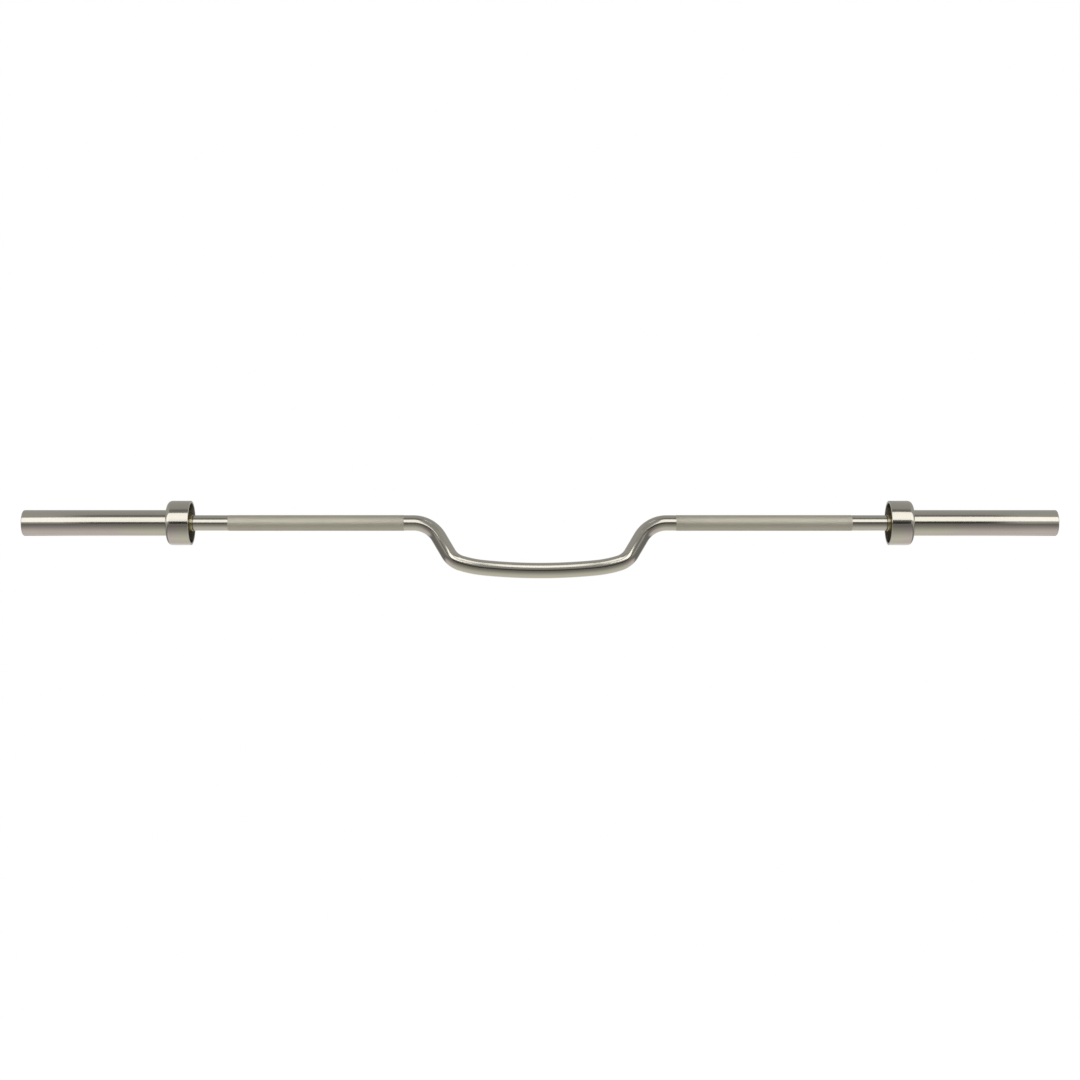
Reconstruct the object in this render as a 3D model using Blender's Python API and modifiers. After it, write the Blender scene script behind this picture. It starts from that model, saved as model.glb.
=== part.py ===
"""Curved seal row bar.

A solid steel bar, bent down in the middle so that it clears the pad of a bench, with a
free-turning 50 mm sleeve on each end. The bar lies along X, the camber hangs down along -Z,
and the origin is on the ground plane, straight under the middle of the camber.
"""
import math

import bmesh
import bpy
from mathutils import Vector

# Overall lengths, in metres
BAR_LENGTH = 2.000
BETWEEN_COLLARS = 1.350

# Grip of the shaft: solid round bar with two knurled bands
GRIP_RADIUS = 0.0150
KNURL_RISE = 0.00025
KNURL_RUN_OUT = 0.0006
SMOOTH_AT_COLLAR = 0.0713
SMOOTH_AT_CAMBER = 0.0180

# Camber: half of it, from the middle outwards, as bend radii and the slope that each reaches
CAMBER_DROP = 0.0937
BOW_RADIUS = 1.080
BOW_SLOPE = math.radians(5.8)
EASE_RADIUS = 0.220
EASE_SLOPE = math.radians(17.5)
ELBOW_RADIUS = 0.0425
ARM_SLOPE = math.radians(59.5)
HIP_RADIUS = 0.0575

# Turned ends of the shaft, which the bushings run on
JOURNAL_RADIUS = 0.0125
JOURNAL_ROOT = 0.006
SHOULDER_CHAMFER = 0.0005
CIRCLIP_GROOVE_DEPTH = 0.0012
SHAFT_TAIL = 0.006
SHAFT_END_CHAMFER = 0.0015

# Collar: a turned cup, open to the grip, that stops the weight plates
COLLAR_RADIUS = 0.043
COLLAR_LENGTH = 0.045
COLLAR_RIM_WALL = 0.0045
COLLAR_RECESS = 0.021
COLLAR_SHOULDER_ROUND = 0.009
COLLAR_RIM_ROUND = 0.0010
COLLAR_LIP_ROUND = 0.0005
COLLAR_FLOOR_ROUND = 0.003

# Sleeve tube
SLEEVE_RADIUS = 0.025
SLEEVE_BORE = 0.019
SLEEVE_END_CHAMFER = 0.0020
SLEEVE_ROOT_CHAMFER = 0.0005
SLEEVE_ROOT_LIP = 0.0015
STACK_POCKET_RADIUS = 0.0205
STACK_POCKET_DEPTH = 0.038
CAP_POCKET_RADIUS = 0.0215
CAP_POCKET_DEPTH = 0.0093
CAP_GROOVE_DEPTH = 0.0012

# Bronze bushings: the inner one has a nose that reaches out through the collar to the shoulder
NOSE_RADIUS = 0.0160
NOSE_STAND_OUT = 0.0030
NOSE_CHAMFER = 0.0005
INNER_BUSHING_LENGTH = 0.040
OUTER_FLANGE_THICKNESS = 0.003
OUTER_FLANGE_CHAMFER = 0.0005
OUTER_BUSHING_LENGTH = 0.032
BUSHING_CHAMFER = 0.0008

# Washers and retaining rings behind the outer bushing, and the end cap. A ring's gap, lug width
# and hole are in heights of its lug, and its taper is in widths of its band.
WASHER_RADIUS = 0.0185
THRUST_WASHER_THICKNESS = 0.0020
BACKING_WASHER_THICKNESS = 0.0015
WAVE_WASHER_OUTER = 0.0175
WAVE_WASHER_INNER = 0.0134
WAVE_SHEET = 0.0007
WAVE_HEIGHT = 0.0007
WAVE_COUNT = 3
SHAFT_CIRCLIP_THICKNESS = 0.0018
SHAFT_CIRCLIP_BAND = 0.0030
SHAFT_CIRCLIP_LUG = 0.0058
CAP_CIRCLIP_THICKNESS = 0.0016
CAP_CIRCLIP_BAND = 0.0026
CAP_CIRCLIP_LUG = 0.0062
CIRCLIP_GAP = 1.1
CIRCLIP_LUG_WIDTH = 1.0
CIRCLIP_HOLE_RADIUS = 0.22
CIRCLIP_TAPER = 0.22
END_CAP_THICKNESS = 0.0035
END_CAP_DISH_RADIUS = 0.0150
END_CAP_DISH_SLOPE = 0.0015
END_CAP_DISH_DEPTH = 0.0010
END_CAP_CHAMFER = 0.0005

# Clearances: FIT between pieces that are pressed or laid together, RUNNING where one turns
FIT = 0.0003
RUNNING = 0.0003

# Fineness of the round surfaces
SIDES = 32
WAVE_SIDES = 36
RING_STEPS = 30
HOLE_SIDES = 10
BEND_STEP = math.radians(6.5)
BOW_STEPS = 5
SHARP = math.radians(28.0)

# Places worked out from the sizes, along the bar and outwards from its middle
AXIS_HEIGHT = CAMBER_DROP + GRIP_RADIUS
RIM = BETWEEN_COLLARS / 2
NOSE_FACE = RIM - NOSE_STAND_OUT
SHAFT_SHOULDER = NOSE_FACE - RUNNING
SLEEVE_ROOT = RIM + COLLAR_RECESS - SLEEVE_ROOT_LIP
SLEEVE_END = BAR_LENGTH / 2
STACK_SEAT = SLEEVE_END - STACK_POCKET_DEPTH
OUTER_FLANGE_FACE = STACK_SEAT + FIT + OUTER_FLANGE_THICKNESS
THRUST_WASHER_FACE = OUTER_FLANGE_FACE + FIT + THRUST_WASHER_THICKNESS
WAVE_WASHER_FACE = THRUST_WASHER_FACE + RUNNING + 2 * WAVE_HEIGHT + WAVE_SHEET
BACKING_WASHER_FACE = WAVE_WASHER_FACE + FIT + BACKING_WASHER_THICKNESS
SHAFT_CIRCLIP_FACE = BACKING_WASHER_FACE + FIT + SHAFT_CIRCLIP_THICKNESS
SHAFT_END = SHAFT_CIRCLIP_FACE + FIT + SHAFT_TAIL
CAP_SEAT = SLEEVE_END - CAP_POCKET_DEPTH
CAP_FACE = CAP_SEAT + FIT + END_CAP_THICKNESS
CAP_CIRCLIP_FACE = CAP_FACE + FIT + CAP_CIRCLIP_THICKNESS
JOURNAL_HOLE = JOURNAL_RADIUS + RUNNING
CIRCLIP_GROOVE = JOURNAL_RADIUS - CIRCLIP_GROOVE_DEPTH
CAP_GROOVE = CAP_POCKET_RADIUS + CAP_GROOVE_DEPTH

# A turned piece is modelled upright, and this lays its axis along the bar
ALONG_BAR = (0.0, math.pi / 2, 0.0)


def clear_scene():
    """Remove every object and leave two collections, one for the parts and one for helpers."""
    for old in list(bpy.data.objects):
        bpy.data.objects.remove(old, do_unlink=True)
    parts = bpy.data.collections.new("curved_seal_row_bar")
    cutters = bpy.data.collections.new("cutters")
    bpy.context.scene.collection.children.link(parts)
    bpy.context.scene.collection.children.link(cutters)
    return parts, cutters


def metal(name, colour, roughness):
    """A bare metal finish."""
    material = bpy.data.materials.new(name)
    material.use_nodes = True
    shader = material.node_tree.nodes["Principled BSDF"]
    shader.inputs["Base Color"].default_value = (*colour, 1.0)
    shader.inputs["Roughness"].default_value = roughness
    shader.inputs["Metallic"].default_value = 1.0
    return material


def satin_nickel(name):
    return metal(name + "_finish", (0.56, 0.54, 0.48), 0.30)


def bronze(name):
    return metal(name + "_finish", (0.53, 0.47, 0.30), 0.30)


def zinc_plate(name):
    return metal(name + "_finish", (0.60, 0.60, 0.58), 0.35)


def spring_steel(name):
    return metal(name + "_finish", (0.16, 0.16, 0.16), 0.45)


def settle(piece, material):
    """Turn a piece's curve or modifiers into one welded mesh with smooth round surfaces."""
    bpy.context.view_layer.update()
    depsgraph = bpy.context.evaluated_depsgraph_get()
    mesh = bpy.data.meshes.new_from_object(piece.evaluated_get(depsgraph))
    welder = bmesh.new()
    welder.from_mesh(mesh)
    bmesh.ops.remove_doubles(welder, verts=welder.verts, dist=1e-6)
    welder.to_mesh(mesh)
    welder.free()
    mesh.shade_smooth()
    mesh.set_sharp_from_angle(angle=SHARP)
    mesh.materials.clear()
    mesh.materials.append(material)
    name = piece.name
    solid = bpy.data.objects.new(name + "_solid", mesh)
    solid.matrix_local = piece.matrix_local
    for collection in piece.users_collection:
        collection.objects.link(solid)
    solid.parent = piece.parent
    bpy.data.objects.remove(piece, do_unlink=True)
    solid.name = name
    return solid


def eased(corners):
    """Points of a turned outline, given as corners (along, radius, easing, steps).

    A corner with an easing is cut by a chamfer when steps is 1 and rounded when it is more.
    """
    points = []
    for i, (along, radius, easing, steps) in enumerate(corners):
        here = Vector((along, radius))
        if easing <= 0.0:
            points.append((along, radius))
            continue
        before = (Vector(corners[i - 1][:2]) - here).normalized()
        after = (Vector(corners[(i + 1) % len(corners)][:2]) - here).normalized()
        half = before.angle(after) / 2
        centre = here + (before + after).normalized() * easing / math.sin(half)
        start = here + before * easing / math.tan(half) - centre
        end = here + after * easing / math.tan(half) - centre
        for step in range(steps + 1):
            point = centre + start.slerp(end, step / steps).normalized() * easing
            points.append((point.x, point.y))
    return points


def turned(name, corners, material, holder, collection, reaches_axis=False):
    """A lathe-turned piece: an outline that runs down its outer side, spun about its axis."""
    outline = eased(corners)
    mesh = bpy.data.meshes.new(name)
    links = [(i, i + 1) for i in range(len(outline) - 1)]
    if not reaches_axis:
        links.append((len(outline) - 1, 0))
    mesh.from_pydata([(radius, 0.0, along) for along, radius in outline], links, [])
    piece = bpy.data.objects.new(name, mesh)
    collection.objects.link(piece)
    spin = piece.modifiers.new("Spin", "SCREW")
    spin.axis = "Z"
    spin.steps = SIDES
    spin.render_steps = SIDES
    spin.use_merge_vertices = True
    spin.merge_threshold = 0.00001
    piece.rotation_euler = ALONG_BAR
    piece.parent = holder
    return settle(piece, material)


def bend(points, radius, slope_from, slope_to, steps):
    """Carry a path of (x, z) points on round a bend that ends at a new slope."""
    x, z = points[-1]
    way = 1.0 if slope_to > slope_from else -1.0
    for step in range(1, steps + 1):
        slope = slope_from + (slope_to - slope_from) * step / steps
        points.append((
            x + way * radius * (math.sin(slope) - math.sin(slope_from)),
            z + way * radius * (math.cos(slope_from) - math.cos(slope)),
        ))


def bend_steps(turn):
    return max(2, round(abs(turn) / BEND_STEP))


def half_camber():
    """Centre line of half the camber, from the bottom of the bow out to the level grip."""
    level = AXIS_HEIGHT
    points = [(0.0, level - CAMBER_DROP)]
    bend(points, BOW_RADIUS, 0.0, BOW_SLOPE, BOW_STEPS)
    bend(points, EASE_RADIUS, BOW_SLOPE, EASE_SLOPE, bend_steps(EASE_SLOPE - BOW_SLOPE))
    bend(points, ELBOW_RADIUS, EASE_SLOPE, ARM_SLOPE, bend_steps(ARM_SLOPE - EASE_SLOPE))
    hip_rise = HIP_RADIUS * (1.0 - math.cos(ARM_SLOPE))
    x, z = points[-1]
    arm_rise = level - hip_rise - z
    points.append((x + arm_rise / math.tan(ARM_SLOPE), z + arm_rise))
    bend(points, HIP_RADIUS, ARM_SLOPE, 0.0, bend_steps(ARM_SLOPE))
    return points


def grip_half():
    """Stations (x, z, radius) of half the grip, from the middle out to the shoulder."""
    path = half_camber()
    stations = [(x, z, GRIP_RADIUS) for x, z in path]
    level = AXIS_HEIGHT
    knurl_start = path[-1][0] + SMOOTH_AT_CAMBER
    knurl_end = RIM - SMOOTH_AT_COLLAR
    crest = GRIP_RADIUS + KNURL_RISE
    stations += [
        (knurl_start, level, GRIP_RADIUS),
        (knurl_start + KNURL_RUN_OUT, level, crest),
        (knurl_end - KNURL_RUN_OUT, level, crest),
        (knurl_end, level, GRIP_RADIUS),
        (SHAFT_SHOULDER - SHOULDER_CHAMFER, level, GRIP_RADIUS),
        (SHAFT_SHOULDER, level, GRIP_RADIUS - SHOULDER_CHAMFER),
    ]
    return stations


def make_shaft(parts, cutters, ends):
    """One solid bar: the bent grip is a swept tube, and a turned journal is joined to each end."""
    half = grip_half()
    stations = [(-x, z, radius) for x, z, radius in reversed(half[1:])] + half
    line = bpy.data.curves.new("shaft_line", "CURVE")
    line.dimensions = "3D"
    line.twist_mode = "MINIMUM"
    line.bevel_depth = GRIP_RADIUS
    line.bevel_resolution = SIDES // 2 - 2
    line.use_fill_caps = True
    spline = line.splines.new("POLY")
    spline.points.add(len(stations) - 1)
    for point, (x, z, radius) in zip(spline.points, stations):
        point.co = (x, 0.0, z, 1.0)
        point.radius = radius / GRIP_RADIUS
    shaft = bpy.data.objects.new("shaft", line)
    parts.objects.link(shaft)
    finish = satin_nickel("shaft")
    shaft = settle(shaft, finish)
    groove_start = BACKING_WASHER_FACE
    groove_end = SHAFT_CIRCLIP_FACE + FIT
    journal = [
        (SHAFT_END, 0.0, 0.0, 1),
        (SHAFT_END, JOURNAL_RADIUS, SHAFT_END_CHAMFER, 1),
        (groove_end, JOURNAL_RADIUS, 0.0, 1),
        (groove_end, CIRCLIP_GROOVE, 0.0, 1),
        (groove_start, CIRCLIP_GROOVE, 0.0, 1),
        (groove_start, JOURNAL_RADIUS, 0.0, 1),
        (SHAFT_SHOULDER - JOURNAL_ROOT, JOURNAL_RADIUS, 0.0, 1),
        (SHAFT_SHOULDER - JOURNAL_ROOT, 0.0, 0.0, 1),
    ]
    for side, end in ends.items():
        name = side + "_journal"
        piece = turned(name, journal, finish, end, cutters, reaches_axis=True)
        piece.hide_render = True
        piece.display_type = "WIRE"
        join = shaft.modifiers.new("Join " + name, "BOOLEAN")
        join.operation = "UNION"
        join.solver = "EXACT"
        join.object = piece
    return shaft


def make_sleeve_tube(side, holder, parts):
    """Load sleeve: bored tube with a pocket for the retaining stack and one for the end cap.

    Its root stands a little way into the collar's recess.
    """
    groove_start = CAP_FACE
    groove_end = CAP_CIRCLIP_FACE + FIT
    corners = [
        (SLEEVE_END, SLEEVE_RADIUS, SLEEVE_END_CHAMFER, 1),
        (SLEEVE_ROOT, SLEEVE_RADIUS, SLEEVE_ROOT_CHAMFER, 1),
        (SLEEVE_ROOT, SLEEVE_BORE, 0.0, 1),
        (STACK_SEAT, SLEEVE_BORE, 0.0, 1),
        (STACK_SEAT, STACK_POCKET_RADIUS, 0.0, 1),
        (CAP_SEAT, STACK_POCKET_RADIUS, 0.0, 1),
        (CAP_SEAT, CAP_POCKET_RADIUS, 0.0, 1),
        (groove_start, CAP_POCKET_RADIUS, 0.0, 1),
        (groove_start, CAP_GROOVE, 0.0, 1),
        (groove_end, CAP_GROOVE, 0.0, 1),
        (groove_end, CAP_POCKET_RADIUS, 0.0, 1),
        (SLEEVE_END, CAP_POCKET_RADIUS, 0.0, 1),
    ]
    name = side + "_sleeve_tube"
    return turned(name, corners, satin_nickel(name), holder, parts)


def make_collar(side, holder, parts):
    """Collar: a heavy web on the sleeve tube, with a thin rim standing round an open recess."""
    back = RIM + COLLAR_LENGTH
    floor = RIM + COLLAR_RECESS
    hole = SLEEVE_RADIUS + FIT
    recess = COLLAR_RADIUS - COLLAR_RIM_WALL
    corners = [
        (back, hole, 0.0, 1),
        (back, COLLAR_RADIUS, COLLAR_SHOULDER_ROUND, 4),
        (RIM, COLLAR_RADIUS, COLLAR_RIM_ROUND, 2),
        (RIM, recess, COLLAR_LIP_ROUND, 1),
        (floor, recess, COLLAR_FLOOR_ROUND, 2),
        (floor, hole, 0.0, 1),
    ]
    name = side + "_collar"
    return turned(name, corners, satin_nickel(name), holder, parts)


def make_inner_bushing(side, holder, parts):
    """Stepped bronze bushing: a barrel in the tube, and the nose that the shoulder runs on."""
    barrel = SLEEVE_BORE - FIT
    tail = SLEEVE_ROOT + INNER_BUSHING_LENGTH
    corners = [
        (tail, JOURNAL_HOLE, 0.0, 1),
        (tail, barrel, BUSHING_CHAMFER, 1),
        (SLEEVE_ROOT, barrel, BUSHING_CHAMFER, 1),
        (SLEEVE_ROOT, NOSE_RADIUS, 0.0, 1),
        (NOSE_FACE, NOSE_RADIUS, NOSE_CHAMFER, 1),
        (NOSE_FACE, JOURNAL_HOLE, 0.0, 1),
    ]
    name = side + "_inner_bushing"
    return turned(name, corners, bronze(name), holder, parts)


def make_outer_bushing(side, holder, parts):
    """Flanged bronze bushing near the end of the sleeve, seated in the stack pocket."""
    barrel = SLEEVE_BORE - FIT
    flange = STACK_POCKET_RADIUS - FIT
    flange_back = OUTER_FLANGE_FACE - OUTER_FLANGE_THICKNESS
    nose = flange_back - OUTER_BUSHING_LENGTH
    corners = [
        (OUTER_FLANGE_FACE, JOURNAL_HOLE, 0.0, 1),
        (OUTER_FLANGE_FACE, flange, OUTER_FLANGE_CHAMFER, 1),
        (flange_back, flange, 0.0, 1),
        (flange_back, barrel, 0.0, 1),
        (nose, barrel, BUSHING_CHAMFER, 1),
        (nose, JOURNAL_HOLE, 0.0, 1),
    ]
    name = side + "_outer_bushing"
    return turned(name, corners, bronze(name), holder, parts)


def make_washer(name, face, thickness, holder, parts):
    """Flat steel washer that slides on the journal."""
    corners = [
        (face, JOURNAL_HOLE, 0.0, 1),
        (face, WASHER_RADIUS, 0.0, 1),
        (face - thickness, WASHER_RADIUS, 0.0, 1),
        (face - thickness, JOURNAL_HOLE, 0.0, 1),
    ]
    return turned(name, corners, zinc_plate(name), holder, parts)


def make_wave_washer(side, holder, parts):
    """Spring washer: a ring of thin sheet whose height waves up and down round its axis."""
    sheet = bmesh.new()
    middle = WAVE_WASHER_FACE - WAVE_SHEET / 2 - WAVE_HEIGHT
    inner = bmesh.ops.create_circle(sheet, segments=WAVE_SIDES, radius=WAVE_WASHER_INNER)
    edges = list({edge for vert in inner["verts"] for edge in vert.link_edges})
    widened = bmesh.ops.extrude_edge_only(sheet, edges=edges)["geom"]
    for vert in [item for item in widened if isinstance(item, bmesh.types.BMVert)]:
        vert.co *= WAVE_WASHER_OUTER / WAVE_WASHER_INNER
    for vert in sheet.verts:
        bearing = math.atan2(vert.co.y, vert.co.x)
        vert.co.z = middle + WAVE_HEIGHT * math.cos(WAVE_COUNT * bearing)
    bmesh.ops.recalc_face_normals(sheet, faces=sheet.faces)
    name = side + "_wave_washer"
    mesh = bpy.data.meshes.new(name)
    sheet.to_mesh(mesh)
    sheet.free()
    piece = bpy.data.objects.new(name, mesh)
    parts.objects.link(piece)
    thicken = piece.modifiers.new("Sheet", "SOLIDIFY")
    thicken.thickness = WAVE_SHEET
    thicken.offset = 0.0
    piece.rotation_euler = ALONG_BAR
    piece.parent = holder
    return settle(piece, spring_steel(name))


def make_circlip(name, face, thickness, seat, band, lug, holder, parts):
    """Retaining ring: an open ring, widest opposite its gap, with a drilled lug at each end.

    A positive band and lug stand outwards from the seat, as on a shaft ring, and negative ones
    inwards, as on a ring for a bore.
    """
    middle = seat + lug / 2
    gap = abs(lug) * CIRCLIP_GAP / 2 / middle
    lug_turn = abs(lug) * CIRCLIP_LUG_WIDTH / middle
    edge = []
    for step in range(RING_STEPS + 1):
        bearing = gap + lug_turn + (math.tau - 2 * gap - 2 * lug_turn) * step / RING_STEPS
        edge.append((seat + band * (1.0 - CIRCLIP_TAPER * (1.0 + math.cos(bearing))), bearing))
    tip = seat + lug
    first = [(seat, gap), (tip, gap), (tip, gap + lug_turn)]
    last = [(radius, math.tau - bearing) for radius, bearing in reversed(first)]
    seat_run = [
        (seat, math.tau - gap - (math.tau - 2 * gap) * step / RING_STEPS)
        for step in range(1, RING_STEPS)
    ]
    outline = first + edge + last + seat_run
    line = bpy.data.curves.new(name + "_line", "CURVE")
    line.dimensions = "2D"
    line.fill_mode = "BOTH"
    line.extrude = thickness / 2
    spline = line.splines.new("POLY")
    spline.use_cyclic_u = True
    spline.points.add(len(outline) - 1)
    for point, (radius, bearing) in zip(spline.points, outline):
        point.co = (radius * math.cos(bearing), radius * math.sin(bearing), 0.0, 1.0)
    for turn in (gap + lug_turn / 2, math.tau - gap - lug_turn / 2):
        hole = line.splines.new("POLY")
        hole.use_cyclic_u = True
        hole.points.add(HOLE_SIDES - 1)
        for step, point in enumerate(hole.points):
            angle = math.tau * step / HOLE_SIDES
            x = middle * math.cos(turn) + abs(lug) * CIRCLIP_HOLE_RADIUS * math.cos(angle)
            y = middle * math.sin(turn) + abs(lug) * CIRCLIP_HOLE_RADIUS * math.sin(angle)
            point.co = (x, y, 0.0, 1.0)
    piece = bpy.data.objects.new(name, line)
    parts.objects.link(piece)
    piece.rotation_euler = ALONG_BAR
    piece.location = (face - thickness / 2, 0.0, 0.0)
    piece.parent = holder
    return settle(piece, spring_steel(name))


def make_end_cap(side, holder, parts):
    """Plain turned disc that closes the sleeve, dished in the middle."""
    rim = CAP_POCKET_RADIUS - FIT
    dish = CAP_FACE - END_CAP_DISH_DEPTH
    back = CAP_FACE - END_CAP_THICKNESS
    corners = [
        (dish, 0.0, 0.0, 1),
        (dish, END_CAP_DISH_RADIUS, 0.0, 1),
        (CAP_FACE, END_CAP_DISH_RADIUS + END_CAP_DISH_SLOPE, 0.0, 1),
        (CAP_FACE, rim, END_CAP_CHAMFER, 1),
        (back, rim, 0.0, 1),
        (back, 0.0, 0.0, 1),
    ]
    name = side + "_end_cap"
    return turned(name, corners, zinc_plate(name), holder, parts, reaches_axis=True)


def marker(name, parent, turn=0.0):
    """An empty on the bar's axis that carries one end, or turns with one sleeve."""
    empty = bpy.data.objects.new(name, None)
    empty.empty_display_size = 0.05
    empty.rotation_euler = (0.0, 0.0, turn)
    empty.parent = parent
    bpy.context.scene.collection.objects.link(empty)
    return empty


def main():
    parts, cutters = clear_scene()
    ends = {
        "left": marker("left_shaft_end", None, math.pi),
        "right": marker("right_shaft_end", None),
    }
    for end in ends.values():
        end.location = (0.0, 0.0, AXIS_HEIGHT)
    make_shaft(parts, cutters, ends)
    for side, end in ends.items():
        spin = marker(side + "_sleeve_spin", end)
        make_sleeve_tube(side, spin, parts)
        make_collar(side, spin, parts)
        make_inner_bushing(side, spin, parts)
        make_outer_bushing(side, spin, parts)
        make_washer(side + "_thrust_washer", THRUST_WASHER_FACE, THRUST_WASHER_THICKNESS, spin, parts)
        make_end_cap(side, spin, parts)
        cap_seat = CAP_GROOVE - FIT
        make_circlip(side + "_cap_circlip", CAP_CIRCLIP_FACE, CAP_CIRCLIP_THICKNESS,
                     cap_seat, -CAP_CIRCLIP_BAND, -CAP_CIRCLIP_LUG, spin, parts)
        make_wave_washer(side, end, parts)
        make_washer(side + "_backing_washer", BACKING_WASHER_FACE, BACKING_WASHER_THICKNESS, end, parts)
        shaft_seat = CIRCLIP_GROOVE + FIT
        make_circlip(side + "_shaft_circlip", SHAFT_CIRCLIP_FACE, SHAFT_CIRCLIP_THICKNESS,
                     shaft_seat, SHAFT_CIRCLIP_BAND, SHAFT_CIRCLIP_LUG, end, parts)


main()
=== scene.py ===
import math

import bmesh
import bpy
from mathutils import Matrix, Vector


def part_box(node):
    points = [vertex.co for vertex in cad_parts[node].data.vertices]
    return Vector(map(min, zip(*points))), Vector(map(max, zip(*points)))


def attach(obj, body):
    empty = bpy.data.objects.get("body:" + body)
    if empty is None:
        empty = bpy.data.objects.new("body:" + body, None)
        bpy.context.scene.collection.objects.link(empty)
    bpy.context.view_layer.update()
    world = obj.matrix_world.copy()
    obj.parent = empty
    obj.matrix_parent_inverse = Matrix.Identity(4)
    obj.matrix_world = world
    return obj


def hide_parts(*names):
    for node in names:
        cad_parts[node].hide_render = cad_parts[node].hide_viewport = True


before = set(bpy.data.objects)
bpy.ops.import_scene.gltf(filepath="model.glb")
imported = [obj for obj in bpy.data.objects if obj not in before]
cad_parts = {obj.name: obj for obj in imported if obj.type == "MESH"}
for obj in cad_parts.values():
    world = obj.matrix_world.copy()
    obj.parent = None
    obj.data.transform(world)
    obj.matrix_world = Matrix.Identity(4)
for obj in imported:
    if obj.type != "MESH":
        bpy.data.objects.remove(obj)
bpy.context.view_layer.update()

# Shaft: one solid steel bar, nickel plated. It is bent into a bow, elbows, arms and hips, the
# grips are knurled by rollers before plating, and both ends are turned down for the bushings.
GRIP_RADIUS = 0.0150
BOW_RADIUS = 1.080
BOW_SLOPE = math.radians(5.8)
EASE_RADIUS = 0.220
EASE_SLOPE = math.radians(17.5)
ELBOW_RADIUS = 0.0425
ARM_SLOPE = math.radians(59.5)
HIP_RADIUS = 0.0575
BEND_FINENESS = math.radians(2.2)
BOW_STEPS = 12
SHAFT_SIDES = 120
SHOULDER_CHAMFER = 0.0005
JOURNAL_RADIUS = 0.0125
GROOVE_RADIUS = 0.0113
GROOVE_PLAY = 0.0003
SHAFT_END_CHAMFER = 0.0015
SMOOTH_AT_CAMBER = 0.0180
SMOOTH_AT_COLLAR = 0.0713
KNURL_CREST = 0.01525
KNURL_ROOT = 0.01506
KNURL_LEAD = math.radians(30.0)
SHARP_ON_SHAFT = math.radians(30.0)

sleeve_low, sleeve_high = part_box("right_sleeve_tube")
AXIS_HEIGHT = (sleeve_low.z + sleeve_high.z) / 2
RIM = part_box("right_collar")[0].x
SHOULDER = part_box("right_inner_bushing")[0].x - GROOVE_PLAY


def bend(line, radius, slope_to, steps):
    """Carry a line of (x, z, slope) stations on round one bend."""
    x, z, slope_from = line[-1]
    way = 1.0 if slope_to > slope_from else -1.0
    for step in range(1, steps + 1):
        slope = slope_from + (slope_to - slope_from) * step / steps
        line.append((
            x + way * radius * (math.sin(slope) - math.sin(slope_from)),
            z + way * radius * (math.cos(slope_from) - math.cos(slope)),
            slope,
        ))


def bend_steps(turn):
    """How many steps a bend takes, so that each turns by about the fineness."""
    return round(abs(turn) / BEND_FINENESS)


def camber_line():
    """Centre line of half the camber, from the bottom of the bow out to the level grip."""
    line = [(0.0, GRIP_RADIUS, 0.0)]
    bend(line, BOW_RADIUS, BOW_SLOPE, BOW_STEPS)
    bend(line, EASE_RADIUS, EASE_SLOPE, bend_steps(EASE_SLOPE - BOW_SLOPE))
    bend(line, ELBOW_RADIUS, ARM_SLOPE, bend_steps(ARM_SLOPE - EASE_SLOPE))
    x, z, slope = line[-1]
    arm_rise = AXIS_HEIGHT - HIP_RADIUS * (1.0 - math.cos(ARM_SLOPE)) - z
    line.append((x + arm_rise / math.tan(ARM_SLOPE), z + arm_rise, slope))
    bend(line, HIP_RADIUS, 0.0, bend_steps(ARM_SLOPE))
    return line


def half_shaft():
    """Rows (x, z, slope, radius, root) from the middle out; root differs on the knurl only."""
    rows = [(x, z, slope, GRIP_RADIUS, GRIP_RADIUS) for x, z, slope in camber_line()]
    groove_in, groove_out = (corner.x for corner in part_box("right_shaft_circlip"))
    knurl_start = rows[-1][0] + SMOOTH_AT_CAMBER
    knurl_end = RIM - SMOOTH_AT_COLLAR
    half_pitch = math.tau * GRIP_RADIUS / SHAFT_SIDES
    row_count = round((knurl_end - knurl_start) * math.tan(KNURL_LEAD) / half_pitch)
    rows.append((knurl_start, AXIS_HEIGHT, 0.0, GRIP_RADIUS, GRIP_RADIUS))
    for row in range(1, row_count):
        x = knurl_start + (knurl_end - knurl_start) * row / row_count
        rows.append((x, AXIS_HEIGHT, 0.0, KNURL_CREST, KNURL_ROOT))
    shaft_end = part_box("shaft")[1].x
    plain = [
        (knurl_end, GRIP_RADIUS),
        (SHOULDER - SHOULDER_CHAMFER, GRIP_RADIUS),
        (SHOULDER, GRIP_RADIUS - SHOULDER_CHAMFER),
        (SHOULDER, JOURNAL_RADIUS),
        (groove_in - GROOVE_PLAY, JOURNAL_RADIUS),
        (groove_in - GROOVE_PLAY, GROOVE_RADIUS),
        (groove_out + GROOVE_PLAY, GROOVE_RADIUS),
        (groove_out + GROOVE_PLAY, JOURNAL_RADIUS),
        (shaft_end - SHAFT_END_CHAMFER, JOURNAL_RADIUS),
        (shaft_end, JOURNAL_RADIUS - SHAFT_END_CHAMFER),
    ]
    rows += [(x, AXIS_HEIGHT, 0.0, radius, radius) for x, radius in plain]
    return rows


def placed(name, data):
    """A new object in the scene, with a mesh, a lamp or a camera in it."""
    thing = bpy.data.objects.new(name, data)
    bpy.context.scene.collection.objects.link(thing)
    return thing


def finished_mesh(name, build, sharp_angle):
    """The mesh of a build, with its faces turned outwards and its steep edges kept sharp."""
    bmesh.ops.recalc_face_normals(build, faces=build.faces)
    mesh = bpy.data.meshes.new(name)
    build.to_mesh(mesh)
    build.free()
    mesh.set_sharp_from_angle(angle=sharp_angle)
    return mesh


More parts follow.
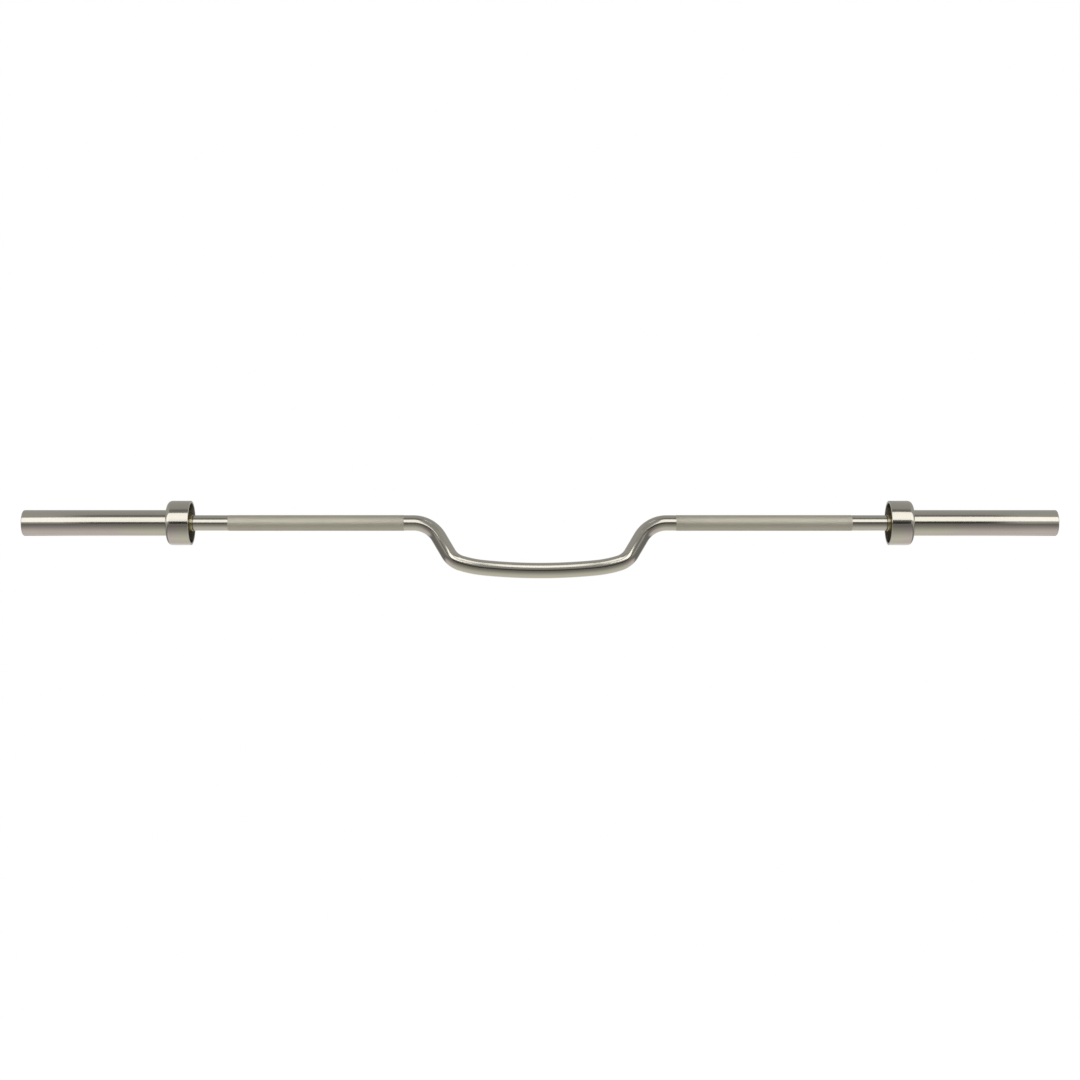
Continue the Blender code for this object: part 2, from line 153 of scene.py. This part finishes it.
def make_shaft():
    """Skin the whole shaft, with diamonds where a row has both crests and roots."""
    half = half_shaft()
    mirrored = [(-x, z, -slope, radius, root) for x, z, slope, radius, root in half[:0:-1]]
    rows = mirrored + half
    build = bmesh.new()
    straight = build.verts.layers.float_vector.new("straight_bar")
    rings = []
    along = 0.0
    for number, (x, z, slope, radius, root) in enumerate(rows):
        if number:
            along += math.hypot(x - rows[number - 1][0], z - rows[number - 1][1])
        ring = []
        for side in range(SHAFT_SIDES):
            angle = math.tau * side / SHAFT_SIDES
            reach = radius if (side + number) % 2 == 0 else root
            out, up = reach * math.sin(angle), reach * math.cos(angle)
            vert = build.verts.new((x - up * math.sin(slope), out, z + up * math.cos(slope)))
            vert[straight] = (along, out, up)
            ring.append(vert)
        rings.append(ring)
    for number in range(len(rings) - 1):
        knurled = any(radius != root for *_, radius, root in rows[number:number + 2])
        for side in range(SHAFT_SIDES):
            after = (side + 1) % SHAFT_SIDES
            here, there = rings[number], rings[number + 1]
            corners = [here[side], here[after], there[after], there[side]]
            if not knurled:
                build.faces.new(corners).smooth = True
                continue
            turn = 0 if (side + number) % 2 else 1
            corners = corners[turn:] + corners[:turn]
            for face in ((0, 1, 2), (0, 2, 3)):
                build.faces.new([corners[i] for i in face]).material_index = 1
    build.faces.new(rings[0][::-1])
    build.faces.new(rings[-1])
    return placed("shaft_bar", finished_mesh("shaft_bar", build, SHARP_ON_SHAFT))


GROUND_MARKS = (1800.0, 60.0, 60.0)
MARK_DETAIL = 3.0
MARK_HEIGHT = 0.0002
CLOUD_SCALE = 22.0
CLOUD_DETAIL = 4.0
CLOUD_DARK = 0.95
CLOUD_LIGHT = 1.04
ROUGHNESS_SPREAD = 0.04
PLAIN_WAVE = 0.05
POLISHED_WAVE = 0.02


def metal_finish(name, tint, roughness, marks=GROUND_MARKS, straight=False, wave=PLAIN_WAVE):
    """Bare or plated metal, slightly clouded, with the fine marks of the tool that made it.

    On the bent shaft the marks follow the bar, by its place on the straight bar it was bent from.
    """
    material = bpy.data.materials.new(name)
    material.use_nodes = True
    tree = material.node_tree
    shader = tree.nodes["Principled BSDF"]
    shader.inputs["Metallic"].default_value = 1.0
    if straight:
        place = tree.nodes.new("ShaderNodeAttribute")
        place.attribute_name = "straight_bar"
        where = place.outputs["Vector"]
    else:
        where = tree.nodes.new("ShaderNodeTexCoord").outputs["Object"]
    stretch = tree.nodes.new("ShaderNodeMapping")
    stretch.inputs["Scale"].default_value = marks
    tree.links.new(where, stretch.inputs["Vector"])
    tool = tree.nodes.new("ShaderNodeTexNoise")
    tool.inputs["Scale"].default_value = 1.0
    tool.inputs["Detail"].default_value = MARK_DETAIL
    tree.links.new(stretch.outputs["Vector"], tool.inputs["Vector"])
    cloud = tree.nodes.new("ShaderNodeTexNoise")
    cloud.inputs["Scale"].default_value = CLOUD_SCALE
    cloud.inputs["Detail"].default_value = CLOUD_DETAIL
    tree.links.new(where, cloud.inputs["Vector"])
    tone = tree.nodes.new("ShaderNodeMix")
    tone.data_type = "RGBA"
    tone.inputs["A"].default_value = (*(CLOUD_DARK * part for part in tint), 1.0)
    tone.inputs["B"].default_value = (*(CLOUD_LIGHT * part for part in tint), 1.0)
    tree.links.new(cloud.outputs["Fac"], tone.inputs["Factor"])
    tree.links.new(tone.outputs["Result"], shader.inputs["Base Color"])
    sheen = tree.nodes.new("ShaderNodeMapRange")
    sheen.inputs["To Min"].default_value = roughness - ROUGHNESS_SPREAD
    sheen.inputs["To Max"].default_value = roughness + ROUGHNESS_SPREAD
    tree.links.new(tool.outputs["Fac"], sheen.inputs["Value"])
    tree.links.new(sheen.outputs["Result"], shader.inputs["Roughness"])
    bump = tree.nodes.new("ShaderNodeBump")
    bump.inputs["Strength"].default_value = wave
    bump.inputs["Distance"].default_value = MARK_HEIGHT
    tree.links.new(tool.outputs["Fac"], bump.inputs["Height"])
    tree.links.new(bump.outputs["Normal"], shader.inputs["Normal"])
    return material


NICKEL = (0.64, 0.61, 0.53)
GROUND_ROUGHNESS = 0.13
KNURLED_NICKEL = (0.69, 0.66, 0.555)
KNURL_ROUGHNESS = 0.60

shaft_nickel = metal_finish("shaft_nickel", NICKEL, GROUND_ROUGHNESS, straight=True, wave=POLISHED_WAVE)
knurl_nickel = metal_finish("knurl_nickel", KNURLED_NICKEL, KNURL_ROUGHNESS, straight=True)
shaft_bar = make_shaft()
shaft_bar.data.materials.append(shaft_nickel)
shaft_bar.data.materials.append(knurl_nickel)
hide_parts("shaft")
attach(shaft_bar, "shaft")

# Sleeve tubes: thick steel tube turned to 50 mm, chamfered at the end where the plates go on,
# with a pocket and a groove bored in that end, and plated like the shaft.
TURNED_SEGMENTS = 144
TURNED_MARKS = (1500.0, 45.0, 45.0)
TURNED_ROUGHNESS = 0.12
SLEEVE_BORE = 0.019
SLEEVE_CHAMFER = 0.0020
SLEEVE_ROOT_CHAMFER = 0.0005
STACK_POCKET = 0.0205
STACK_POCKET_DEPTH = 0.038
CAP_POCKET = 0.0215
CAP_POCKET_DEPTH = 0.0093
CAP_GROOVE = 0.0227
EDGE_ROUND = 0.0003
ON_AXIS = 1e-6
SHARP_ON_TURNED = math.radians(32.0)


def eased(corners):
    """Points of a turned outline; a corner is (along, radius, easing, steps), a round if eased."""
    points = []
    for i, (along, radius, easing, steps) in enumerate(corners):
        here = Vector((along, radius))
        if easing <= 0.0:
            points.append(here)
            continue
        before = (Vector(corners[i - 1][:2]) - here).normalized()
        after = (Vector(corners[(i + 1) % len(corners)][:2]) - here).normalized()
        half = before.angle(after) / 2
        centre = here + (before + after).normalized() * easing / math.sin(half)
        start = here + before * easing / math.tan(half) - centre
        end = here + after * easing / math.tan(half) - centre
        for step in range(steps + 1):
            points.append(centre + start.slerp(end, step / steps).normalized() * easing)
    return points


def turned(name, corners, side, closed=True):
    """Spin an outline about the bar's axis. Outlines are written for the right end of the bar."""
    outline = eased(corners)
    build = bmesh.new()
    rings = []
    for point in outline:
        if point.y < ON_AXIS:
            rings.append([build.verts.new((side * point.x, 0.0, AXIS_HEIGHT))] * TURNED_SEGMENTS)
            continue
        rings.append([
            build.verts.new((
                side * point.x,
                point.y * math.sin(math.tau * turn / TURNED_SEGMENTS),
                AXIS_HEIGHT + point.y * math.cos(math.tau * turn / TURNED_SEGMENTS),
            ))
            for turn in range(TURNED_SEGMENTS)
        ])
    pairs = list(zip(rings, rings[1:]))
    if closed:
        pairs.append((rings[-1], rings[0]))
    for here, there in pairs:
        for turn in range(TURNED_SEGMENTS):
            after = (turn + 1) % TURNED_SEGMENTS
            corners_here = [here[turn], here[after], there[after], there[turn]]
            distinct = list(dict.fromkeys(corners_here))
            if len(distinct) > 2:
                build.faces.new(distinct).smooth = True
    return placed(name, finished_mesh(name, build, SHARP_ON_TURNED))


SIDES = {"left": -1.0, "right": 1.0}
sleeve_nickel = metal_finish(
    "sleeve_nickel", NICKEL, TURNED_ROUGHNESS, marks=TURNED_MARKS, wave=POLISHED_WAVE
)
sleeve_radius = (sleeve_high.z - sleeve_low.z) / 2
cap_groove_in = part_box("right_end_cap")[1].x
cap_groove_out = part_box("right_cap_circlip")[1].x + GROOVE_PLAY
for end, side in SIDES.items():
    tube_corners = [
        (sleeve_high.x, sleeve_radius, SLEEVE_CHAMFER, 3),
        (sleeve_low.x, sleeve_radius, SLEEVE_ROOT_CHAMFER, 2),
        (sleeve_low.x, SLEEVE_BORE, EDGE_ROUND, 2),
        (sleeve_high.x - STACK_POCKET_DEPTH, SLEEVE_BORE, 0.0, 1),
        (sleeve_high.x - STACK_POCKET_DEPTH, STACK_POCKET, 0.0, 1),
        (sleeve_high.x - CAP_POCKET_DEPTH, STACK_POCKET, 0.0, 1),
        (sleeve_high.x - CAP_POCKET_DEPTH, CAP_POCKET, 0.0, 1),
        (cap_groove_in, CAP_POCKET, 0.0, 1),
        (cap_groove_in, CAP_GROOVE, 0.0, 1),
        (cap_groove_out, CAP_GROOVE, 0.0, 1),
        (cap_groove_out, CAP_POCKET, 0.0, 1),
        (sleeve_high.x, CAP_POCKET, EDGE_ROUND, 2),
    ]
    tube = turned(end + "_load_sleeve", tube_corners, side)
    tube.data.materials.append(sleeve_nickel)
    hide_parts(end + "_sleeve_tube")
    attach(tube, end + "_sleeve")

# Collars: turned steel cups fixed on the sleeve tubes. The web stops the plates, and a thin rim
# stands round an open recess on the grip side.
COLLAR_RECESS = 0.021
COLLAR_RIM_WALL = 0.0045
COLLAR_SHOULDER_ROUND = 0.009
COLLAR_RIM_ROUND = 0.0010
COLLAR_LIP_ROUND = 0.0005
COLLAR_FLOOR_ROUND = 0.003
COLLAR_PLAY = 0.0003
# Painted shade: the recess inside the rim is coloured a darker nickel than the rest of the cup.
RECESS_SHADE_TINT = (0.30, 0.28, 0.23)
RECESS_ROUGHNESS = 0.30

collar_nickel = metal_finish(
    "collar_nickel", NICKEL, TURNED_ROUGHNESS, marks=TURNED_MARKS, wave=POLISHED_WAVE
)
painted_shade_recess = metal_finish("painted_shade_recess", RECESS_SHADE_TINT, RECESS_ROUGHNESS, marks=TURNED_MARKS)
collar_low, collar_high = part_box("right_collar")
collar_radius = (collar_high.z - collar_low.z) / 2
collar_bore = sleeve_radius + COLLAR_PLAY
for end, side in SIDES.items():
    cup_corners = [
        (collar_high.x, collar_bore, EDGE_ROUND, 2),
        (collar_high.x, collar_radius, COLLAR_SHOULDER_ROUND, 12),
        (collar_low.x, collar_radius, COLLAR_RIM_ROUND, 5),
        (collar_low.x, collar_radius - COLLAR_RIM_WALL, COLLAR_LIP_ROUND, 4),
        (collar_low.x + COLLAR_RECESS, collar_radius - COLLAR_RIM_WALL, COLLAR_FLOOR_ROUND, 6),
        (collar_low.x + COLLAR_RECESS, collar_bore, 0.0, 1),
    ]
    cup = turned(end + "_stop_collar", cup_corners, side)
    cup.data.materials.append(collar_nickel)
    cup.data.materials.append(painted_shade_recess)
    # Faces inside the recess take the darker nickel of painted shade.
    for face in cup.data.polygons:
        off_axis = math.hypot(face.center.y, face.center.z - AXIS_HEIGHT)
        in_recess = abs(face.center.x) < collar_low.x + COLLAR_RECESS + EDGE_ROUND
        if in_recess and off_axis < collar_radius - COLLAR_RIM_WALL + EDGE_ROUND:
            face.material_index = 1
    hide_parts(end + "_collar")
    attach(cup, end + "_sleeve")

# Inner bushings: turned bearing bronze, pressed into the root of the sleeve. The polished nose
# comes out through the collar's recess, and the shoulder of the shaft runs on its face.
JOURNAL_HOLE = 0.0128
NOSE_RADIUS = 0.0160
NOSE_EDGE = 0.0005
BARREL_CHAMFER = 0.0008
BRONZE = (0.53, 0.47, 0.30)
BRONZE_ROUGHNESS = 0.22

bushing_low, bushing_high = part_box("right_inner_bushing")
barrel_radius = (bushing_high.z - bushing_low.z) / 2
bronze_finish = metal_finish("bearing_bronze", BRONZE, BRONZE_ROUGHNESS, marks=TURNED_MARKS)
for end, side in SIDES.items():
    bush_corners = [
        (bushing_high.x, JOURNAL_HOLE, 0.0, 1),
        (bushing_high.x, barrel_radius, BARREL_CHAMFER, 2),
        (sleeve_low.x, barrel_radius, BARREL_CHAMFER, 2),
        (sleeve_low.x, NOSE_RADIUS, EDGE_ROUND, 2),
        (bushing_low.x, NOSE_RADIUS, NOSE_EDGE, 4),
        (bushing_low.x, JOURNAL_HOLE, EDGE_ROUND, 3),
    ]
    bush = turned(end + "_nosed_bushing", bush_corners, side)
    bush.data.materials.append(bronze_finish)
    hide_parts(end + "_inner_bushing")
    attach(bush, end + "_sleeve")

# Pieces inside the sleeve: the outer bronze bushing, two zinc-plated washers, the dark wave
# washer and the circlip that holds the sleeve on. No view reaches them, so they keep the shapes
# of the solids.
ZINC = (0.60, 0.60, 0.57)
ZINC_ROUGHNESS = 0.32
STAMPED_MARKS = (900.0, 260.0, 260.0)
SPRING_STEEL = (0.14, 0.14, 0.14)
SPRING_ROUGHNESS = 0.42
PHOSPHATE_MARKS = (300.0, 300.0, 300.0)

zinc_finish = metal_finish("zinc_plate", ZINC, ZINC_ROUGHNESS, marks=STAMPED_MARKS)
spring_finish = metal_finish(
    "phosphated_spring_steel", SPRING_STEEL, SPRING_ROUGHNESS, marks=PHOSPHATE_MARKS
)
INSIDE = {
    "outer_bushing": bronze_finish,
    "thrust_washer": zinc_finish,
    "wave_washer": spring_finish,
    "backing_washer": zinc_finish,
    "shaft_circlip": spring_finish,
}


def finish_node(name, finish):
    """Give a piece that keeps its own mesh one finish."""
    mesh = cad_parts[name].data
    mesh.materials.clear()
    mesh.materials.append(finish)


for end in SIDES:
    for piece_name, finish in INSIDE.items():
        finish_node(end + "_" + piece_name, finish)

# End caps: turned discs, dished in the middle, that drop into the mouth of each sleeve and keep
# the dirt out of the bearings.
CAP_DISH_RADIUS = 0.0150
CAP_DISH_SLOPE = 0.0015
CAP_DISH_DEPTH = 0.0010
CAP_EDGE = 0.0005

cap_low, cap_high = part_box("right_end_cap")
cap_radius = (cap_high.z - cap_low.z) / 2
for end, side in SIDES.items():
    cap_corners = [
        (cap_high.x - CAP_DISH_DEPTH, 0.0, 0.0, 1),
        (cap_high.x - CAP_DISH_DEPTH, CAP_DISH_RADIUS, EDGE_ROUND, 3),
        (cap_high.x, CAP_DISH_RADIUS + CAP_DISH_SLOPE, EDGE_ROUND, 3),
        (cap_high.x, cap_radius, CAP_EDGE, 3),
        (cap_low.x, cap_radius, EDGE_ROUND, 2),
        (cap_low.x, 0.0, 0.0, 1),
    ]
    cap = turned(end + "_dished_cap", cap_corners, side, closed=False)
    cap.data.materials.append(collar_nickel)
    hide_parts(end + "_end_cap")
    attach(cap, end + "_sleeve")

# Cap circlips: spring-steel rings, open at the top, that snap into the groove in the sleeve's
# mouth. Each end of the ring has a drilled lug for the pliers.
for end in SIDES:
    finish_node(end + "_cap_circlip", spring_finish)

# White world: the plain white that the camera sees behind the bar. Gloss would see it too where
# it got past the walls, and matt surfaces would get a little less of its light.
WORLD_LEVEL = 0.8


def math_node(tree, operation, first, second=None):
    """The outcome of one sum in a node tree; each part is a socket or a number."""
    node = tree.nodes.new("ShaderNodeMath")
    node.operation = operation
    for place, part in enumerate((first, second)):
        if isinstance(part, float):
            node.inputs[place].default_value = part
        elif part is not None:
            tree.links.new(part, node.inputs[place])
    return node.outputs[0]


world = bpy.data.worlds.new("white_world")
bpy.context.scene.world = world
world.use_nodes = True
world_tree = world.node_tree
sky = world_tree.nodes["Background"]
sky.inputs["Color"].default_value = (1.0, 1.0, 1.0, 1.0)
sky_rays = world_tree.nodes.new("ShaderNodeLightPath")
sky_level = WORLD_LEVEL
for ray in ("Is Camera Ray", "Is Glossy Ray", "Is Transmission Ray"):
    sky_level = math_node(world_tree, "MAXIMUM", sky_rays.outputs[ray], sky_level)
world_tree.links.new(sky_level, sky.inputs["Strength"])

# Walls: a long grey tube round the bar, closed at both ends, which the camera doesn't see. Its
# tones by height, in degrees above the bar's axis, make the darker bands on the polished steel.
WALL_DISTANCE = 4.4
WALL_HALF_LENGTH = 5.0
WALL_SEGMENTS = 96
WALL_TONES = {
    -180: 0.85, -100: 0.85, -19: 0.03, -8: 0.03, 3: 0.20, 14: 0.38,
    40: 0.32, 50: 0.18, 58: 0.18, 68: 0.36, 99: 0.40, 169: 0.46,
}
WALL_END_TONE = 0.42
SIDE_STARTS = 1.7
SIDE_IS_FULL = 2.6


def glowing_paint(name, tone=1.0):
    """A new material that only glows, in one grey as a start, and its emission node."""
    material = bpy.data.materials.new(name)
    material.use_nodes = True
    tree = material.node_tree
    tree.nodes.remove(tree.nodes["Principled BSDF"])
    glow = tree.nodes.new("ShaderNodeEmission")
    glow.inputs["Color"].default_value = (tone, tone, tone, 1.0)
    tree.links.new(glow.outputs["Emission"], tree.nodes["Material Output"].inputs["Surface"])
    return material, glow


def place_in_studio(tree):
    """The outputs X, Y and Z of the shaded point's place in the studio."""
    split = tree.nodes.new("ShaderNodeSeparateXYZ")
    shaded = tree.nodes.new("ShaderNodeNewGeometry")
    tree.links.new(shaded.outputs["Position"], split.inputs["Vector"])
    return split.outputs


def tones(tree, measure, table, tint=(1.0, 1.0, 1.0)):
    """A ramp of tinted greys over a measure, from a table of its values and their tones."""
    low, high = min(table), max(table)
    scale = tree.nodes.new("ShaderNodeMapRange")
    scale.inputs["From Min"].default_value = low
    scale.inputs["From Max"].default_value = high
    tree.links.new(measure, scale.inputs["Value"])
    ramp = tree.nodes.new("ShaderNodeValToRGB")
    stops = ramp.color_ramp.elements
    for number, (value, tone) in enumerate(sorted(table.items())):
        position = (value - low) / (high - low)
        stop = stops[number] if number < 2 else stops.new(position)
        stop.position = position
        stop.color = (*(tone * part for part in tint), 1.0)
    tree.links.new(scale.outputs["Result"], ramp.inputs["Fac"])
    return ramp.outputs["Color"]


def aside(tree, place, starts, is_full):
    """A share that goes smoothly from 0 in the middle to 1 at the left and right."""
    share = tree.nodes.new("ShaderNodeMapRange")
    share.interpolation_type = "SMOOTHSTEP"
    share.inputs["From Min"].default_value = starts
    share.inputs["From Max"].default_value = is_full
    tree.links.new(math_node(tree, "ABSOLUTE", place["X"]), share.inputs["Value"])
    return share.outputs["Result"]


def mixed(tree, share, first, second):
    """The first colour, which turns into the second by a share; a number stands for a grey."""
    mix = tree.nodes.new("ShaderNodeMix")
    mix.data_type = "RGBA"
    tree.links.new(share, mix.inputs["Factor"])
    tree.links.new(first, mix.inputs["A"])
    if isinstance(second, float):
        mix.inputs["B"].default_value = (second, second, second, 1.0)
    else:
        tree.links.new(second, mix.inputs["B"])
    return mix.outputs["Result"]


wall_paint, wall_glow = glowing_paint("wall_paint")
wall_tree = wall_paint.node_tree
wall_place = place_in_studio(wall_tree)
above = math_node(wall_tree, "SUBTRACT", wall_place["Z"], AXIS_HEIGHT)
in_front = math_node(wall_tree, "MULTIPLY", wall_place["Y"], -1.0)
wall_rise = math_node(wall_tree, "DEGREES", math_node(wall_tree, "ARCTAN2", above, in_front))
wall_shade = tones(wall_tree, wall_rise, WALL_TONES)
wall_ends = aside(wall_tree, wall_place, SIDE_STARTS, SIDE_IS_FULL)
wall_shade = mixed(wall_tree, wall_ends, wall_shade, WALL_END_TONE)
wall_tree.links.new(wall_shade, wall_glow.inputs["Color"])
end_paint = glowing_paint("end_wall_paint", WALL_END_TONE)[0]

wall_build = bmesh.new()
wall_rings = [
    [
        wall_build.verts.new((
            x,
            -WALL_DISTANCE * math.cos(math.tau * step / WALL_SEGMENTS),
            AXIS_HEIGHT + WALL_DISTANCE * math.sin(math.tau * step / WALL_SEGMENTS),
        ))
        for step in range(WALL_SEGMENTS)
    ]
    for x in (-WALL_HALF_LENGTH, WALL_HALF_LENGTH)
]
left_ring, right_ring = wall_rings
for step in range(WALL_SEGMENTS):
    after = (step + 1) % WALL_SEGMENTS
    wall_build.faces.new([left_ring[step], left_ring[after], right_ring[after], right_ring[step]])
for ring in wall_rings:
    wall_build.faces.new(ring).material_index = 1
wall_mesh = bpy.data.meshes.new("grey_walls")
wall_build.to_mesh(wall_mesh)
wall_build.free()
wall_mesh.materials.append(wall_paint)
wall_mesh.materials.append(end_paint)
walls = placed("grey_walls", wall_mesh)
walls.visible_camera = False

# Floor: a pale sheet far below the bar, which hangs free as in the photograph. The camera sees
# it nearly white, with the bar's faint shadow on it. The steel reflects it in greys of painted
# shade that darken towards the camera, with one tint under the shaft and another under the sleeves.
FLOOR_DROP = 1.1
FLOOR_SIZE = 9.0
FLOOR_MATT = (0.8, 0.78, 0.77)
FLOOR_SHADE_TONES = {-2.2: 0.20, -1.1: 0.33, -0.68: 0.44, -0.27: 0.58, 0.21: 0.70, 1.2: 0.68, 2.5: 0.85}
UNDER_SHAFT_TINT = (1.0, 1.0, 0.93)
UNDER_SLEEVES_TINT = (1.0, 0.93, 0.96)
TINT_TURNS = 0.85
TINT_HAS_TURNED = 1.05
FLOOR_SIDE_TONE = 0.20
FLOOR_GLOW = 1.2
FLOOR_GLOW_SHARE = 0.8


def square_sheet(name, size, paint):
    """A level square mesh about its own middle."""
    half = size / 2
    corners = [(-half, -half, 0.0), (half, -half, 0.0), (half, half, 0.0), (-half, half, 0.0)]
    mesh = bpy.data.meshes.new(name)
    mesh.from_pydata(corners, [], [(0, 1, 2, 3)])
    mesh.materials.append(paint)
    return mesh


floor_paint, floor_glow = glowing_paint("pale_floor")
floor_tree = floor_paint.node_tree
floor_matt = floor_tree.nodes.new("ShaderNodeBsdfDiffuse")
floor_matt.inputs["Color"].default_value = (*FLOOR_MATT, 1.0)
rays = floor_tree.nodes.new("ShaderNodeLightPath").outputs
floor_place = place_in_studio(floor_tree)
under_shaft = tones(floor_tree, floor_place["Y"], FLOOR_SHADE_TONES, UNDER_SHAFT_TINT)
under_sleeves = tones(floor_tree, floor_place["Y"], FLOOR_SHADE_TONES, UNDER_SLEEVES_TINT)
near_sleeves = aside(floor_tree, floor_place, TINT_TURNS, TINT_HAS_TURNED)
floor_shade = mixed(floor_tree, near_sleeves, under_shaft, under_sleeves)
past_sleeves = aside(floor_tree, floor_place, SIDE_STARTS, SIDE_IS_FULL)
floor_shade = mixed(floor_tree, past_sleeves, floor_shade, FLOOR_SIDE_TONE)
floor_colour = mixed(floor_tree, rays["Is Camera Ray"], floor_shade, FLOOR_GLOW)
floor_tree.links.new(floor_colour, floor_glow.inputs["Color"])
glow_in_view = math_node(floor_tree, "MULTIPLY", rays["Is Camera Ray"], FLOOR_GLOW_SHARE)
glow_share = math_node(floor_tree, "MAXIMUM", glow_in_view, rays["Is Glossy Ray"])
matt_or_glow = floor_tree.nodes.new("ShaderNodeMixShader")
floor_tree.links.new(glow_share, matt_or_glow.inputs["Fac"])
floor_tree.links.new(floor_matt.outputs["BSDF"], matt_or_glow.inputs[1])
floor_tree.links.new(floor_glow.outputs["Emission"], matt_or_glow.inputs[2])
floor_output = floor_tree.nodes["Material Output"]
floor_tree.links.new(matt_or_glow.outputs["Shader"], floor_output.inputs["Surface"])
floor = placed("floor", square_sheet("floor", FLOOR_SIZE, floor_paint))
floor.location.z = -FLOOR_DROP

# Flags: a small grey card in front of each hip and above it, which the camera doesn't see. It
# keeps the top lamp off the hip, so that the hip shows one highlight, as in the photograph.
FLAG_TONE = 0.36
FLAG_SIZE = 0.086
FLAG_MIDDLE = Vector((0.176, -0.105, 0.083))
FLAG_TILT = math.radians(48.0)

flag_paint = glowing_paint("grey_flag", FLAG_TONE)[0]
for end, side in SIDES.items():
    flag = placed(end + "_flag", square_sheet(end + "_flag", FLAG_SIZE, flag_paint))
    flag.location = (side * FLAG_MIDDLE.x, FLAG_MIDDLE.y, AXIS_HEIGHT + FLAG_MIDDLE.z)
    flag.rotation_euler.x = math.pi / 2 - FLAG_TILT
    flag.visible_camera = False

# Lamps: two long soft ones close in front of the bar make its highlights, one farther up lights
# the bow, and a narrow one at each elbow is rolled along the bend. A lamp's place is metres
# across, degrees of rise above the bar's axis and metres away from it.
SOFT_LAMPS = {
    "front_left_lamp": {
        "across": -0.765, "rise": 16.0, "away": 0.20, "size": (1.07, 0.146), "roll": 0.0, "glow": 1.08,
    },
    "front_right_lamp": {
        "across": 0.765, "rise": 22.0, "away": 0.20, "size": (1.07, 0.142), "roll": 0.0, "glow": 1.08,
    },
    "left_elbow_lamp": {
        "across": -0.170, "rise": -7.7, "away": 0.20, "size": (0.127, 0.022), "roll": -45.0, "glow": 1.6,
    },
    "right_elbow_lamp": {
        "across": 0.170, "rise": -7.7, "away": 0.20, "size": (0.127, 0.022), "roll": 45.0, "glow": 1.6,
    },
    "top_lamp": {
        "across": 0.0, "rise": 46.5, "away": 0.70, "size": (0.17, 0.46), "roll": 0.0, "glow": 1.30,
    },
}
for lamp_name, lamp in SOFT_LAMPS.items():
    light = bpy.data.lights.new(lamp_name, "AREA")
    light.shape = "RECTANGLE"
    light.size, light.size_y = lamp["size"]
    light.energy = lamp["glow"] * math.pi * light.size * light.size_y
    rise = math.radians(lamp["rise"])
    holder = placed(lamp_name, light)
    holder.location = (
        lamp["across"],
        -lamp["away"] * math.cos(rise),
        AXIS_HEIGHT + lamp["away"] * math.sin(rise),
    )
    holder.rotation_euler = (math.pi / 2 - rise, math.radians(lamp["roll"]), 0.0)
    holder.visible_camera = False

# Camera: far off with a long lens, as in the photograph. It looks up a little, because the
# camber in the photograph is turned a little towards the viewer.
CAMERA_DISTANCE = 3.62
CAMERA_BELOW_AXIS = 0.033
LOOK_UP = math.radians(11.0)
FOCAL_PIXELS = 1868.0
FRAME_PIXELS = 1080.0
SENSOR_WIDTH = 36.0

camera_data = bpy.data.cameras.new("camera")
camera_data.sensor_width = SENSOR_WIDTH
camera_data.lens = SENSOR_WIDTH * FOCAL_PIXELS / FRAME_PIXELS
camera = placed("camera", camera_data)
camera.location = (
    0.0,
    -CAMERA_DISTANCE * math.cos(LOOK_UP) + CAMERA_BELOW_AXIS * math.sin(LOOK_UP),
    AXIS_HEIGHT - CAMERA_DISTANCE * math.sin(LOOK_UP) - CAMERA_BELOW_AXIS * math.cos(LOOK_UP),
)
camera.rotation_euler = (math.pi / 2 + LOOK_UP, 0.0, 0.0)
bpy.context.scene.camera = camera
bpy.context.scene.view_settings.view_transform = "Standard"
